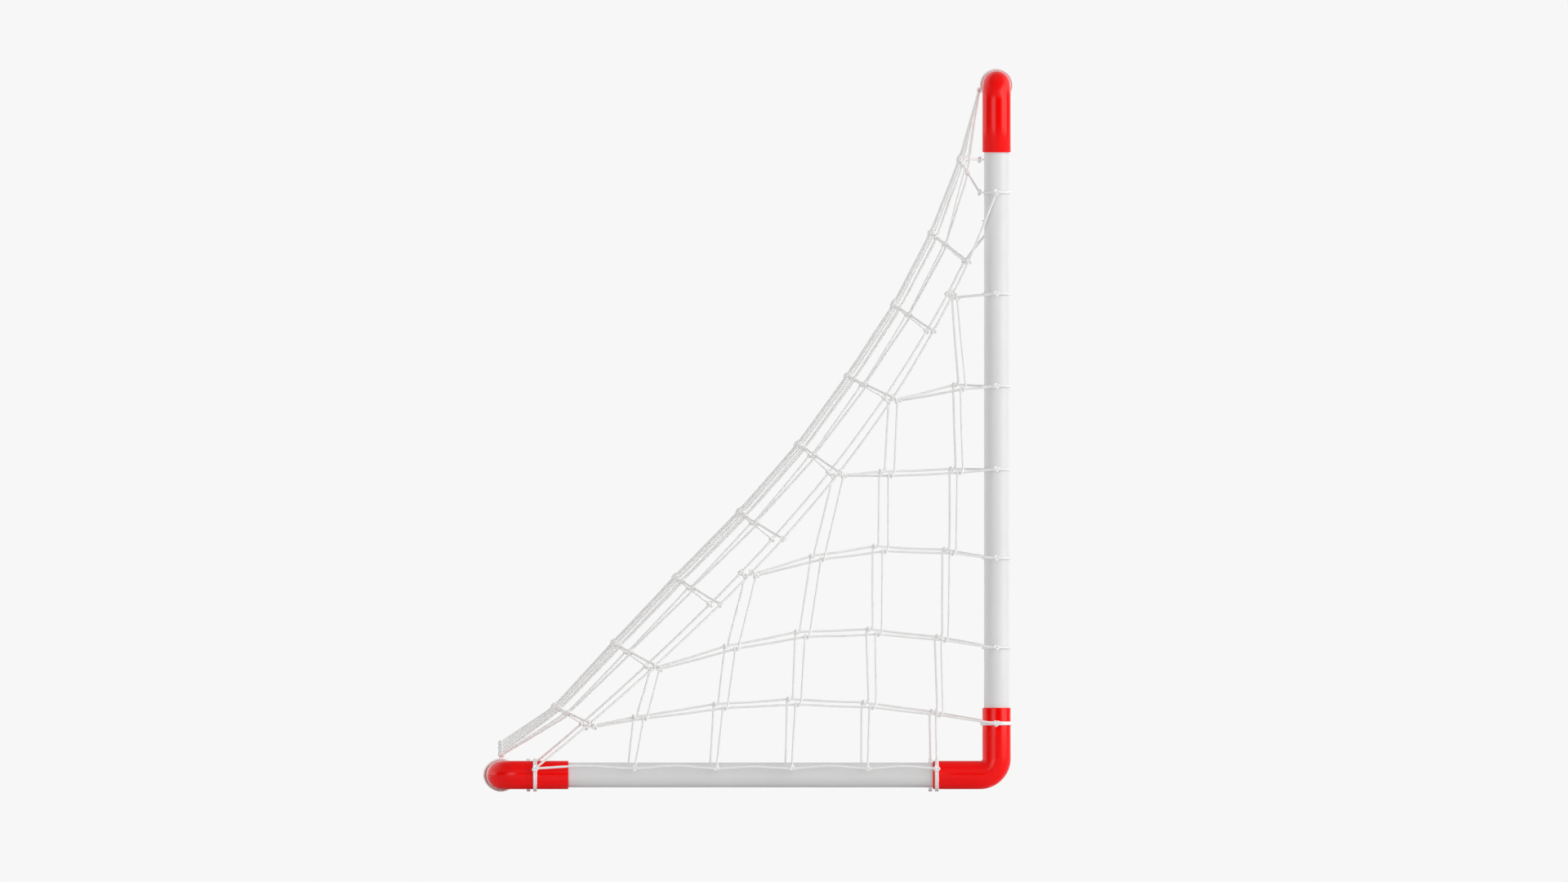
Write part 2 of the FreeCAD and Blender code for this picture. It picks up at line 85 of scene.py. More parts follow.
SEAM_HEAD_GAP = 20                       # no seam knot is nearer than this to its head


def unit(vector):
    return vector / np.linalg.norm(vector, axis=-1, keepdims=True)


def lashing_radius(surface):
    return surface / 2 + LASHING_GAP + CORD / 2


def knot_radius(surface):
    return surface / 2 + KNOT_GAP + KNOT / 2


FOOT_X = HALF_WIDTH + knot_radius(ELBOW) * math.cos(FOOT_ANGLE)
FOOT_Z = BASE + knot_radius(ELBOW) * math.sin(FOOT_ANGLE)


# ---------------------------------------------------------------- where the net's knots are

def surface_at_post(height):
    return ELBOW if height < BASE + LEG else PIPE


def post_knot(side, height):
    return np.array([side * (HALF_WIDTH + knot_radius(surface_at_post(height))), -HALF_DEPTH, height])


def corner_knot(side):
    return np.array([side * HALF_WIDTH, -HALF_DEPTH + knot_radius(PIPE), CORNERS[side]])


def foot_knot(side, y):
    return np.array([side * FOOT_X, y + FOOT_SHIFT[side], FOOT_Z])


def head_knot(side):
    return post_knot(side, HEADS[side])


def seam_point(side, height):
    foot, head = foot_knot(side, SEAM_FOOT), post_knot(side, HEADS[LEFT])
    fraction = (height - foot[2]) / (head[2] - foot[2])
    hang = max(0.0, math.sin(math.pi * fraction))
    point = foot + (head - foot) * fraction
    return point - [side * SEAM_PULL * hang, SEAM_SAG[side] * hang ** SAG_BLUNTNESS, 0]


def crossbar_knot(x):
    gap = lashing_radius(ELBOW) + CORD / 2 + CORD_GAP
    return np.array([x, -HALF_DEPTH + gap + KNOT / 2, TOP])


def hung_knot(x):
    """The crossbar's knot as the net's weight draws it, a little lower and closer to the pipe."""
    return crossbar_knot(x) - Y * HANG_CLOSER - Z * HANG_DROP


def back_column_x(column):
    return -EDGE_COLUMN + 2 * EDGE_COLUMN * (column - 1) / (BACK_COLUMNS - 1)


def edge_share(column):
    return math.exp(-EDGE_FADE * min(column, BACK_COLUMNS + 1 - column))


def border_knot(column):
    from_end = min(column, BACK_COLUMNS + 1 - column)
    return np.array([back_column_x(column), HALF_DEPTH, BACK_FEET[from_end - 1]])


def back_knot(column, row):
    """A knot of the back net; columns 0 and BACK_COLUMNS + 1 are its two edges."""
    side = LEFT if 2 * column <= BACK_COLUMNS else RIGHT
    edge = corner_knot(side) if row > len(SEAM_HEIGHTS) else seam_point(side, SEAM_HEIGHTS[row - 1])
    if column in (0, BACK_COLUMNS + 1):
        return edge
    x = back_column_x(column)
    foot, head = np.array([x, HALF_DEPTH, max(BACK_FEET)]), crossbar_knot(x)
    middle = foot + (head - foot) * (BACK_HEIGHTS[row - 1] - foot[2]) / (head[2] - foot[2])
    middle[1] -= BACK_SAGS[row - 1]
    knot = middle + (edge - middle) * edge_share(column)
    return np.array([x, knot[1], knot[2]])


def side_seam_knot(side, row):
    along = head_knot(side) - foot_knot(side, SEAM_FOOT)
    inwards = unit(np.array([0, -along[2], along[1]]))
    return seam_point(side, ROW_ENDS[row]) + inwards * (KNOT + CORD_GAP)


def side_knot(side, row, column):
    """Where a side row crosses a side column, found by closing in on it along both."""
    post, end = post_knot(side, POST_TIES[row]), side_seam_knot(side, row)
    foot, head = foot_knot(side, COLUMN_FEET[column]), side_seam_knot(side, len(ROW_ENDS) - 1 - column)
    rise, bow = ROW_RISES[row] + ROW_LIFT[side], COLUMN_BOWS[column] + COLUMN_SHIFT[side]
    lean = 2 if column == 0 else 1
    y = foot[1]
    for _ in range(CLOSING_STEPS):
        along = (y - post[1]) / (end[1] - post[1])
        z = post[2] + (end[2] - post[2]) * along + rise * math.sin(math.pi * along)
        up = (z - foot[2]) / (head[2] - foot[2])
        y = foot[1] + (head[1] - foot[1]) * up + bow * math.sin(math.pi * up ** lean)
    return np.array([post[0] + (end[0] - post[0]) * along ** 2, y, z])


# ---------------------------------------------------------------- meshes

class Skin:
    """Collects rings of points into one mesh."""

    def __init__(self):
        self.points, self.quads, self.caps, self.count = [], [], [], 0

    def add(self, rings, closed=False):
        """Skin a grid of rings, each running the same way round. Open ends are capped."""
        turns, around = rings.shape[:2]
        index = np.arange(turns * around).reshape(turns, around) + self.count
        self.points.append(rings.reshape(-1, 3))
        self.count += turns * around
        if closed:
            index = np.vstack([index, index[:1]])
        else:
            self.caps += [index[0, ::-1], index[-1]]
        low, high = index[:-1], index[1:]
        self.quads.append(np.stack([low, np.roll(low, -1, 1), np.roll(high, -1, 1), high], -1).reshape(-1, 4))

    def make(self, name, slot, replaced, sharp=None):
        """Make the object, hand it to the frame and give it its slot's material."""
        points = np.vstack(self.points) * MM
        quads = np.vstack(self.quads)
        loops = np.concatenate([quads.ravel()] + self.caps)
        sizes = [4] * len(quads) + [len(cap) for cap in self.caps]
        mesh = bpy.data.meshes.new(name)
        mesh.vertices.add(len(points))
        mesh.vertices.foreach_set("co", points.astype(np.float32).ravel())
        mesh.loops.add(len(loops))
        mesh.loops.foreach_set("vertex_index", loops.astype(np.int32))
        mesh.polygons.add(len(sizes))
        mesh.polygons.foreach_set("loop_start", (np.cumsum(sizes) - sizes).astype(np.int32))
        mesh.update(calc_edges=True)
        mesh.validate()
        mesh.shade_smooth()
        if sharp:
            mesh.set_sharp_from_angle(angle=math.radians(sharp))
        mesh.materials.append(MATERIALS[slot])
        thing = bpy.data.objects.new(name, mesh)
        bpy.context.scene.collection.objects.link(thing)
        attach(thing, "root")
        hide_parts(replaced)


def rings_on(path, across, radii, angles):
    """Rings of points round a path; across is a direction, or one for each point, that isn't along it."""
    along = unit(np.gradient(path, axis=0))
    first = unit(across - (across * along).sum(-1, keepdims=True) * along)
    second = np.cross(along, first)
    return path[:, None] + radii[..., None] * (
        np.cos(angles)[..., None] * first[:, None] + np.sin(angles)[..., None] * second[:, None])


PATH_STEP = 1.75        # the distance between a cord's rings


def smooth(points, ease=1.0):
    """Points about PATH_STEP apart on a line through the given ones; less ease leaves it closer to kinks."""
    points = np.asarray(points, float)
    gaps = np.linalg.norm(np.diff(points, axis=0), axis=1)
    slopes = np.diff(points, axis=0) / gaps[:, None]
    tangents = np.vstack([slopes[:1], slopes])
    before, after = gaps[:-1, None], gaps[1:, None]
    tangents[1:-1] = (slopes[:-1] * before + slopes[1:] * after) / (before + after)
    tangents[-1] = slopes[-1]
    counts = np.maximum(1, np.ceil(gaps / PATH_STEP)).astype(int)
    part = np.repeat(np.arange(len(gaps)), counts)
    t = ((np.arange(len(part)) - np.repeat(np.cumsum(counts) - counts, counts)) / counts[part])[:, None]
    reach = gaps[part, None] * ease
    line = ((2 * t ** 3 - 3 * t ** 2 + 1) * points[part] + (t ** 3 - 2 * t ** 2 + t) * tangents[part] * reach
            + (3 * t ** 2 - 2 * t ** 3) * points[part + 1] + (t ** 3 - t ** 2) * tangents[part + 1] * reach)
    return np.vstack([line, points[-1:]])


STRANDS, LAY, GROOVE = 3, 20.0, 0.06     # strands, the length of one turn of a strand, and how deep they part
# Points round a cord, the fewest round a hoop, their number for a millimetre of its radius, and in a knot
CORD_SIDES, HOOP_SIDES, HOOP_SIDES_PER_MM, KNOT_STEPS = 12, 48, 3.6, 72
KNOT_SIZE, KNOT_HEIGHT, KNOT_CORD = 1.45, -0.95, 3.6
SLACK_ASIDE, SLACK_DOWN = 400, 250       # the strand length that gives a millimetre of each, at slack 1
COLUMN_SLACK, ROW_SLACK, ROW_EASE = 0.7, 1.0, 0.4
AROUND = np.linspace(0, 2 * math.pi, CORD_SIDES, endpoint=False)


def cord_rings(path, across, diameter, closed=False):
    """A laid cord of three strands along a path."""
    steps = np.linalg.norm(np.diff(path, axis=0), axis=1)
    run = np.concatenate([[0], np.cumsum(steps)])
    turns = run / LAY
    if closed:
        whole = run[-1] + np.linalg.norm(path[0] - path[-1])
        turns = run / whole * max(1, round(whole / LAY))
    lay = STRANDS * (AROUND - 2 * math.pi * turns[:, None])
    radii = diameter / 2 * (1 - GROOVE * (1 - np.cos(lay)) / 2)
    angles = np.broadcast_to(AROUND, radii.shape)
    if closed:
        padded = np.vstack([path[-1:], path, path[:1]])
        padded_radii = np.vstack([radii[-1:], radii, radii[:1]])
        return rings_on(padded, across, padded_radii, angles[[0] * len(padded)])[1:-1]
    return rings_on(path, across, radii, angles)


def hoop(centre, axis, radius, tilt, loose):
    """A closed round path about an axis, a little tilted, and standing off the pipe on its loose side."""
    side = unit(np.cross(axis, [0.3, 0.5, 0.8]))
    ahead = np.cross(axis, side)
    sides = max(HOOP_SIDES, round(radius * HOOP_SIDES_PER_MM))
    t = np.linspace(0, 2 * math.pi, sides, endpoint=False)[:, None]
    outwards = np.cos(t) * side + np.sin(t) * ahead
    share = np.clip(outwards @ unit(loose), 0, 1)[:, None] ** 2
    return centre + radius * outwards + loose * share + axis * tilt * np.cos(t + centre.sum())


def trefoil():
    """An overhand knot drawn tight, about 12 mm wide and flat in XY. The CAD part has a ball of KNOT here."""
    t = np.linspace(0, 2 * math.pi, KNOT_STEPS, endpoint=False)[:, None]
    path = np.hstack([np.sin(t) + 2 * np.sin(2 * t), np.cos(t) - 2 * np.cos(2 * t),
                      KNOT_HEIGHT * np.sin(3 * t)])
    return cord_rings(path * KNOT_SIZE, Z, KNOT_CORD, closed=True)


TREFOIL = trefoil()


def add_knot(skin, point, facing, ahead):
    """Place a drawn-tight knot with its flat side towards facing."""
    facing = unit(np.asarray(facing, float))
    ahead = unit(ahead - facing * (facing @ ahead))
    turn = RNG.uniform(-0.5, 0.5)
    side = np.cross(facing, ahead)
    first, second = (math.cos(turn) * ahead + math.sin(turn) * side,
                     math.cos(turn) * side - math.sin(turn) * ahead)
    basis = np.stack([first, second, facing])
    skin.add(TREFOIL @ basis + point, closed=True)


def slack(start, end, amount):
    """The middle of a strand, hanging a little and pushed a little to one side."""
    reach = np.linalg.norm(end - start)
    aside = RNG.normal(0, 1, 3) * amount * reach / SLACK_ASIDE
    return (start + end) / 2 + aside - Z * amount * reach / SLACK_DOWN


# A column's way round a row cord, as along the row, up the column and outwards
TURNS = np.array([
    [-5.2, -6.5, 0.4], [-5.2, -3.0, 2.0], [-4.7, 0.2, 3.1], [-3.9, 2.5, 1.6], [-3.0, 2.9, -0.8],
    [-2.1, 1.2, -2.8], [-1.3, -1.2, -2.8], [-0.5, -2.9, -0.6], [0.4, -2.3, 1.9], [1.9, -0.4, 3.2],
    [3.4, 1.5, 2.9], [4.7, 3.9, 1.9], [5.2, 7.0, 0.5]])


def column_path(start, knots, rows, end, outwards):
    """A column from start to end that winds once round the row cord at every knot."""
    stops = [start] + knots + [end]
    points = [start]
    for number, (knot, row) in enumerate(zip(knots, rows), 1):
        along = unit(row)
        up = unit(stops[number + 1] - stops[number - 1])
        up = unit(up - along * (up @ along))
        out = np.cross(along, up)
        out *= np.sign(out @ outwards)
        turns = knot + TURNS @ np.stack([along, up, out])
        points += [slack(points[-1], turns[0], COLUMN_SLACK)] + list(turns)
    points += [slack(points[-1], end, COLUMN_SLACK), end]
    return smooth(points)


def row_path(points):
    """A row through its knots, with a little slack between them."""
    line = [points[0]]
    for point in points[1:]:
        line += [slack(line[-1], point, ROW_SLACK), point]
    return smooth(line, ease=ROW_EASE)


# ---------------------------------------------------------------- materials

# Noise scales are in cycles over a metre, and bump heights in metres
TONE_LOW, TONE_HIGH = 0.3, 0.7
CLOUD_SCALE, GLOSS_SCALE, RIPPLE_SCALE, RIPPLE_STRENGTH = 9.0, 40.0, 45.0, 0.04
MOTTLE_SCALE, NAP_SCALE, NAP_SPREAD = 120.0, 900.0, 0.08
GRAIN_SCALE, GRAIN_STRETCH, GRAIN_HEIGHT, GRAIN_STRENGTH = 1400.0, (1, 1, 0.6), 0.0002, 0.15
PIPE_RIPPLE, ELBOW_RIPPLE = 0.00005, 0.00004


def new_material(name):
    material = bpy.data.materials.new(name)
    material.use_nodes = True
    nodes, links = material.node_tree.nodes, material.node_tree.links
    return material, nodes, links, nodes["Principled BSDF"]


def noise(nodes, links, scale, detail=4.0, stretch=(1, 1, 1)):
    """Noise in the object's own coordinates, in metres."""
    where = nodes.new("ShaderNodeTexCoord")
    mapping = nodes.new("ShaderNodeMapping")
    mapping.inputs["Scale"].default_value = stretch
    texture = nodes.new("ShaderNodeTexNoise")
    texture.inputs["Scale"].default_value = scale
    texture.inputs["Detail"].default_value = detail
    links.new(where.outputs["Object"], mapping.inputs["Vector"])
    links.new(mapping.outputs["Vector"], texture.inputs["Vector"])
    return texture.outputs["Fac"]


def ramp(nodes, links, value, stops):
    node = nodes.new("ShaderNodeValToRGB")
    links.new(value, node.inputs["Fac"])
    for element, (position, colour) in zip(node.color_ramp.elements, stops):
        element.position, element.color = position, (*colour, 1)
    return node.outputs["Color"]


def spread(nodes, links, value, low, high):
    node = nodes.new("ShaderNodeMapRange")
    node.inputs["To Min"].default_value, node.inputs["To Max"].default_value = low, high
    links.new(value, node.inputs["Value"])
    return node.outputs["Result"]


def bump(nodes, links, shader, value, height, strength):
    node = nodes.new("ShaderNodeBump")
    node.inputs["Strength"].default_value = strength
    node.inputs["Distance"].default_value = height
    links.new(value, node.inputs["Height"])
    links.new(node.outputs["Normal"], shader.inputs["Normal"])


def plastic(name, low, high, roughness, ripple):
    """Moulded or extruded plastic: faint clouding, an uneven gloss and a very shallow ripple."""
    material, nodes, links, shader = new_material(name)
    cloud = noise(nodes, links, CLOUD_SCALE)
    links.new(ramp(nodes, links, cloud, [(TONE_LOW, low), (TONE_HIGH, high)]), shader.inputs["Base Color"])
    links.new(spread(nodes, links, noise(nodes, links, GLOSS_SCALE), *roughness), shader.inputs["Roughness"])
    bump(nodes, links, shader, noise(nodes, links, RIPPLE_SCALE, 2.0), ripple, RIPPLE_STRENGTH)
    shader.inputs["IOR"].default_value = 1.5
    shader.inputs["Specular IOR Level"].default_value = 0.25
    return material


def fibre(name, low, high, roughness):
    """Laid cord: soft, slightly mottled, with a fine fibre grain."""
    material, nodes, links, shader = new_material(name)
    mottle = noise(nodes, links, MOTTLE_SCALE)
    links.new(ramp(nodes, links, mottle, [(TONE_LOW, low), (TONE_HIGH, high)]), shader.inputs["Base Color"])
    nap = noise(nodes, links, NAP_SCALE)
    links.new(spread(nodes, links, nap, roughness - NAP_SPREAD, roughness + NAP_SPREAD),
              shader.inputs["Roughness"])
    grain = noise(nodes, links, GRAIN_SCALE, 2.0, GRAIN_STRETCH)
    bump(nodes, links, shader, grain, GRAIN_HEIGHT, GRAIN_STRENGTH)
    shader.inputs["Specular IOR Level"].default_value = 0.3
    shader.inputs["Sheen Weight"].default_value = 0.1
    shader.inputs["Sheen Roughness"].default_value = 0.5
    return material


MATERIALS = {
    "white_pipe": plastic("white_pipe", (0.79, 0.79, 0.79), (0.82, 0.82, 0.82), (0.24, 0.28), PIPE_RIPPLE),
    "red_elbow": plastic("red_elbow", (0.97, 0.0010, 0.0008), (0.99, 0.0014, 0.0010), (0.12, 0.14),
                         ELBOW_RIPPLE),
    "net_cord": fibre("net_cord", (0.90, 0.895, 0.89), (0.95, 0.945, 0.94), 0.62),
    "border_cord": fibre("border_cord", (0.90, 0.895, 0.89), (0.95, 0.945, 0.94), 0.6),
    # The lashing cord's base colour is the cord's own pale colour plus painted light: it is set a little
    # lighter than the net's cord so the rings, which sit in shade round the pipes, read lit
    "lashing_cord": fibre("lashing_cord", (0.93, 0.93, 0.925), (0.97, 0.97, 0.965), 0.58),
}


# ---------------------------------------------------------------- pipes and elbows

PIPE_SIDES, EDGE_STEPS, SHARP_ANGLE = 96, 4, 35
PIPE_EDGE, SOCKET_EDGE = 0.5, 0.4        # the pipe's broken edge, and how far in the socket starts
BEND_STEPS, BORE_STEPS = 25, 13
ROUND = np.linspace(0, 2 * math.pi, PIPE_SIDES, endpoint=False)


def round_rings(path, along, across, radii):
    """Round sections, where each centre, direction and radius is given."""
    second = np.cross(along, across)
    return path[:, None] + np.asarray(radii)[:, None, None] * (
        np.cos(ROUND)[None, :, None] * across + np.sin(ROUND)[None, :, None] * second[:, None])


def corner_steps(radius):
    """Offsets (back from the end, in from the surface) of a rounded edge."""
    turns = np.linspace(0, math.pi / 2, EDGE_STEPS + 1)
    return [(radius * (1 - math.sin(turn)), radius * (1 - math.cos(turn))) for turn in turns]


def pipe(name, start, end, node):
    """A length of pipe with slightly broken edges."""
    start, end = np.asarray(start, float), np.asarray(end, float)
    along = unit(end - start)
    length = np.linalg.norm(end - start)
    across = Z if abs(along[2]) < 0.5 else X
    outer, inner = PIPE / 2, PIPE / 2 - WALL
    edge = corner_steps(PIPE_EDGE)
    profile = [(length * t, outer) for t in np.linspace(0, 1, 9)[1:-1]]
    profile = [(back, outer - drop) for back, drop in edge[::-1]] + profile
    profile += [(length - back, outer - drop) for back, drop in edge]
    profile += [(length - t, inner) for t in np.linspace(0, length, 5)]
    places = np.array([start + along * distance for distance, _ in profile])
    skin = Skin()
    ways = np.tile(along, (len(places), 1))
    skin.add(round_rings(places, ways, across, [radius for _, radius in profile]), closed=True)
    skin.make(name, "white_pipe", node, sharp=SHARP_ANGLE)


def elbow(name, corner, first, second, first_leg, node):
    """A moulded elbow with a rounded rim and a stepped socket in each leg."""
    corner, first, second = (np.asarray(v, float) for v in (corner, first, second))
    bend = BEND * math.pi / 2
    starts = (first_leg - BEND, first_leg - BEND + bend, first_leg - 2 * BEND + bend + LEG)
    across = np.cross(first, second)

    def at(distance):
        """The point and direction on the middle line, this far from the first leg's end."""
        if distance <= starts[0]:
            return corner + first * (first_leg - distance), -first
        if distance >= starts[1]:
            return corner + second * (BEND + distance - starts[1]), second
        turn = (distance - starts[0]) / BEND
        centre = corner + (first + second) * BEND
        return (centre - BEND * (math.cos(turn) * second + math.sin(turn) * first),
                math.sin(turn) * second - math.cos(turn) * first)

    outer, socket, passage = ELBOW / 2, PIPE / 2 + PLAY, PIPE / 2 - WALL
    length, edge = starts[2], corner_steps(RIM)
    walls = [starts[0] / 2, *np.linspace(starts[0], starts[1], BEND_STEPS), (starts[1] + length) / 2]
    profile = [(back, outer - drop) for back, drop in edge[::-1]]
    profile += [(distance, outer) for distance in walls]
    profile += [(length - back, outer - drop) for back, drop in edge]
    profile += [(length - SOCKET_EDGE, socket), (length - LEG + STOP, socket), (length - LEG + STOP, passage)]
    profile += [(distance, passage) for distance in np.linspace(starts[1], starts[0], BORE_STEPS)]
    profile += [(first_leg - STOP, passage), (first_leg - STOP, socket), (SOCKET_EDGE, socket)]
    places, ways = (np.array(v) for v in zip(*(at(distance) for distance, _ in profile)))
    skin = Skin()
    skin.add(round_rings(places, ways, across, [radius for _, radius in profile]), closed=True)
    skin.make(name, "red_elbow", node, sharp=SHARP_ANGLE)


def build_frame():
    """Six pipes pushed into six elbows."""
    reach, stop = HALF_WIDTH, STOP + END_GAP
    for name, side in SIDES.items():
        x, inwards = side * HALF_WIDTH, -side * X
        pipe(f"{name}_post_pipe", (x, -HALF_DEPTH, BASE + stop), (x, -HALF_DEPTH, TOP - stop),
             f"{name}_post")
        pipe(f"{name}_base_run", (x, -HALF_DEPTH + stop, BASE), (x, HALF_DEPTH - stop, BASE),
             f"{name}_base_pipe")
        elbow(f"{name}_top_fitting", (x, -HALF_DEPTH, TOP), inwards, -Z, LEG, f"{name}_top_elbow")
        elbow(f"{name}_front_fitting", (x, -HALF_DEPTH, BASE), Y, Z, BASE_LEG, f"{name}_front_elbow")
        elbow(f"{name}_back_fitting", (x, HALF_DEPTH, BASE), inwards, -Y, LEG, f"{name}_back_elbow")
    pipe("crossbar_pipe", (-reach + stop, -HALF_DEPTH, TOP), (reach - stop, -HALF_DEPTH, TOP), "crossbar")
    pipe("back_bar_pipe", (-reach + stop, HALF_DEPTH, BASE), (reach - stop, HALF_DEPTH, BASE), "back_bar")


# ---------------------------------------------------------------- net

VISUAL_CORD, TIE_CORD, STEM_CORD = 3.8, 3.6, 3.2
COLUMN_SPREAD = 0.4     # how much further out each of the back net's middle columns hangs than the one before
FIRST_MIDDLE, LOWER_ROWS = 3, 5          # the first column that wanders, and the rows of the lower piece
WANDER_ACROSS, WANDER_ALONG = 2, 1.5
FLOOR_BOW = (2.5, 4.5)                   # how far the floor border bows up between two knots
# A lashing's tilt, how far each turn of a pair is from the middle, its slack when snug or loose, and what the
# second turn's slack is divided by
TILT, TIE_PAIR, TIE_SNUG, TIE_LOOSE, TIE_SECOND = 0.5, 1.5, 0.1, 2.4, 3
# The height where the two strands over the back bar cross, as seen from the side, and how far each stands off
STEM_CROSSING, STEM_DEEP, STEM_WIDE, STEM_STEPS = 72.0, 2.4, 1.9, 24


def build_side_net(name, side):
    """A side net: rows from the post to the seam, and columns from the floor border to the seam."""
    skin, outwards = Skin(), side * X
    rows, columns = len(ROW_ENDS), len(COLUMN_FEET)
    crossings = {(row, column): side_knot(side, row, column)
                 for row in range(rows) for column in range(min(columns, rows - 1 - row))}
    for row in range(rows):
        own = [crossings[row, column] for column in range(min(columns, rows - 1 - row))]
        path = row_path([post_knot(side, POST_TIES[row])] + own + [side_seam_knot(side, row)])
        skin.add(cord_rings(path, X, VISUAL_CORD))
        add_knot(skin, side_seam_knot(side, row), outwards, Y)
    for column in range(columns):
        own = [crossings[row, column] for row in range(rows - 1 - column)]
        ways = []
        for row in range(rows - 1 - column):
            before = crossings.get((row, column - 1), post_knot(side, POST_TIES[row]))
            after = crossings.get((row, column + 1), side_seam_knot(side, row))
            ways.append(before - after)
        path = column_path(foot_knot(side, COLUMN_FEET[column]), own, ways,
                           side_seam_knot(side, rows - 1 - column), outwards)
        skin.add(cord_rings(path, Y, VISUAL_CORD))
    skin.make(f"{name}_side_mesh", "net_cord", f"{name}_side_net")


def build_back_net():
    """The back net, whose middle columns wander a little, in four pieces of one node."""
    rows = len(BACK_HEIGHTS)
    facing = unit(np.cross(X, crossbar_knot(0) - [0, HALF_DEPTH, max(BACK_FEET)]))
    facing = facing * np.sign(facing[1])
    knots = {(column, row): back_knot(column, row)
             for row in range(1, rows + 1) for column in range(BACK_COLUMNS + 2)}
    for column in range(FIRST_MIDDLE, BACK_COLUMNS + 2 - FIRST_MIDDLE):
        depth = COLUMN_SPREAD * (column - (BACK_COLUMNS + 1) / 2)
        for row in range(1, rows + 1):
            along = unit(back_knot(column, min(row + 1, rows)) - back_knot(column, max(row - 1, 1)))
            wander = X * RNG.normal(0, WANDER_ACROSS) + along * RNG.normal(0, WANDER_ALONG)
            knots[column, row] += wander + facing * depth
    for half, chosen in (("lower", range(1, LOWER_ROWS + 1)), ("upper", range(LOWER_ROWS + 1, rows + 1))):
        skin = Skin()
        for row in chosen:
            path = row_path([knots[column, row] for column in range(BACK_COLUMNS + 2)])
            skin.add(cord_rings(path, facing, VISUAL_CORD))
        skin.make(f"back_net_{half}_rows", "net_cord", "back_net")
    middle = BACK_COLUMNS // 2
    for half, chosen in (("left", range(1, middle + 1)), ("right", range(middle + 1, BACK_COLUMNS + 1))):
        skin = Skin()
        for column in chosen:
            own = [knots[column, row] for row in range(1, rows + 1)]
            ways = [knots[column + 1, row] - knots[column - 1, row] for row in range(1, rows + 1)]
            path = column_path(border_knot(column), own, ways, hung_knot(back_column_x(column)), facing)
            skin.add(cord_rings(path, X, VISUAL_CORD))
        skin.make(f"back_net_{half}_columns", "net_cord", "back_net")


def build_borders():
    """The border cords under the crossbar, over the back bar and on the base pipes, and the corner seams."""
    columns = range(1, BACK_COLUMNS + 1)
    for name, points, facing in (
            ("top", [hung_knot(back_column_x(column)) for column in columns], Y),
            ("back", [border_knot(column) for column in columns], Z)):
        skin = Skin()
        skin.add(cord_rings(row_path(points), Y, CORD))
        for point in points:
            add_knot(skin, point, facing, X)
        skin.make(f"{name}_edge_cord", "border_cord", f"{name}_border_cord")
    for name, side in SIDES.items():
        feet = [FRONT_FOOT] + COLUMN_FEET[1:] + [SEAM_FOOT]
        points = [foot_knot(side, y) for y in feet]
        line = [points[0]]
        for point in points[1:]:
            line += [(line[-1] + point) / 2 + Z * RNG.uniform(*FLOOR_BOW), point]
        skin = Skin()
        skin.add(cord_rings(smooth(line), X, CORD))
        for point in points[1:-1]:
            add_knot(skin, point, side * X, Y)
        skin.make(f"{name}_floor_edge_cord", "border_cord", f"{name}_base_border_cord")
        heights = sorted(set(SEAM_HEIGHTS + ROW_ENDS))
        heights = [height for height in heights if height < HEADS[side] - SEAM_HEAD_GAP]
        seam = [foot_knot(side, SEAM_FOOT), *(seam_point(side, height) for height in heights),
                head_knot(side)]
        skin = Skin()
        skin.add(cord_rings(smooth(seam), X, CORD))
        for point in seam[1:-1]:
            add_knot(skin, point, side * X, Z)
        skin.make(f"{name}_corner_cord", "border_cord", f"{name}_seam_cord")


def tie(skin, centre, axis, surface, loose=Y * TIE_SNUG):
    """A lashing drawn round a pipe: one turn on a pipe, two beside each other on an elbow."""
    tilt = RNG.uniform(-TILT, TILT)
    pair = [(-TIE_PAIR, loose), (TIE_PAIR, loose / TIE_SECOND)]
    for offset, play in pair if surface == ELBOW else [(0, loose)]:
        path = hoop(centre + axis * offset, axis, lashing_radius(surface), tilt, play)
        skin.add(cord_rings(path, axis, TIE_CORD, closed=True), closed=True)


def build_lashings():
    """The lashings on the posts, base pipes, crossbar and back bar, with their knots and stems."""
    for name, side in SIDES.items():
        skin = Skin()
        for height in sorted(set(POST_TIES + [HEADS[side], CORNERS[side]])):
            centre = np.array([side * HALF_WIDTH, -HALF_DEPTH, height])
            tie(skin, centre, Z, surface_at_post(height))
            if height in POST_TIES or height == HEADS[side]:
                add_knot(skin, post_knot(side, height), side * X, Z)
            if height == CORNERS[side]:
                add_knot(skin, corner_knot(side), Y, Z)
        skin.make(f"{name}_post_ties", "lashing_cord", f"{name}_post_lashings")
        skin = Skin()
        for y in (FRONT_FOOT, SEAM_FOOT):
            knot = foot_knot(side, y)
            tie(skin, np.array([side * HALF_WIDTH, knot[1], BASE]), Y, ELBOW)
            add_knot(skin, knot, side * X, Z)
        skin.make(f"{name}_floor_ties", "lashing_cord", f"{name}_base_lashings")
    top, back = Skin(), Skin()
    for column in range(1, BACK_COLUMNS + 1):
        x, surface = back_column_x(column), ELBOW if column in (1, BACK_COLUMNS) else PIPE
        tie(top, np.array([x, -HALF_DEPTH, TOP]), X, surface)
        tie(back, np.array([x, HALF_DEPTH, BASE]), X, surface, Y * TIE_LOOSE)
        foot = np.array([x, HALF_DEPTH, BASE + lashing_radius(surface)])
        head = border_knot(column)
        for strand in (-1, 1):
            path = foot + (head - foot) * np.linspace(0, 1, STEM_STEPS)[:, None]
            turn = math.pi / 2 * (path[:, 2:] - foot[2]) / (STEM_CROSSING - foot[2])
            path = path + strand * (Y * STEM_DEEP * np.cos(turn) + X * STEM_WIDE * np.sin(turn))
            back.add(cord_rings(path, X, STEM_CORD))
    top.make("crossbar_ties", "lashing_cord", "crossbar_lashings")
    back.make("back_bar_ties", "lashing_cord", "back_bar_lashings")


build_frame()
build_back_net()
for side_name, side_sign in SIDES.items():
    build_side_net(side_name, side_sign)
build_borders()
build_lashings()

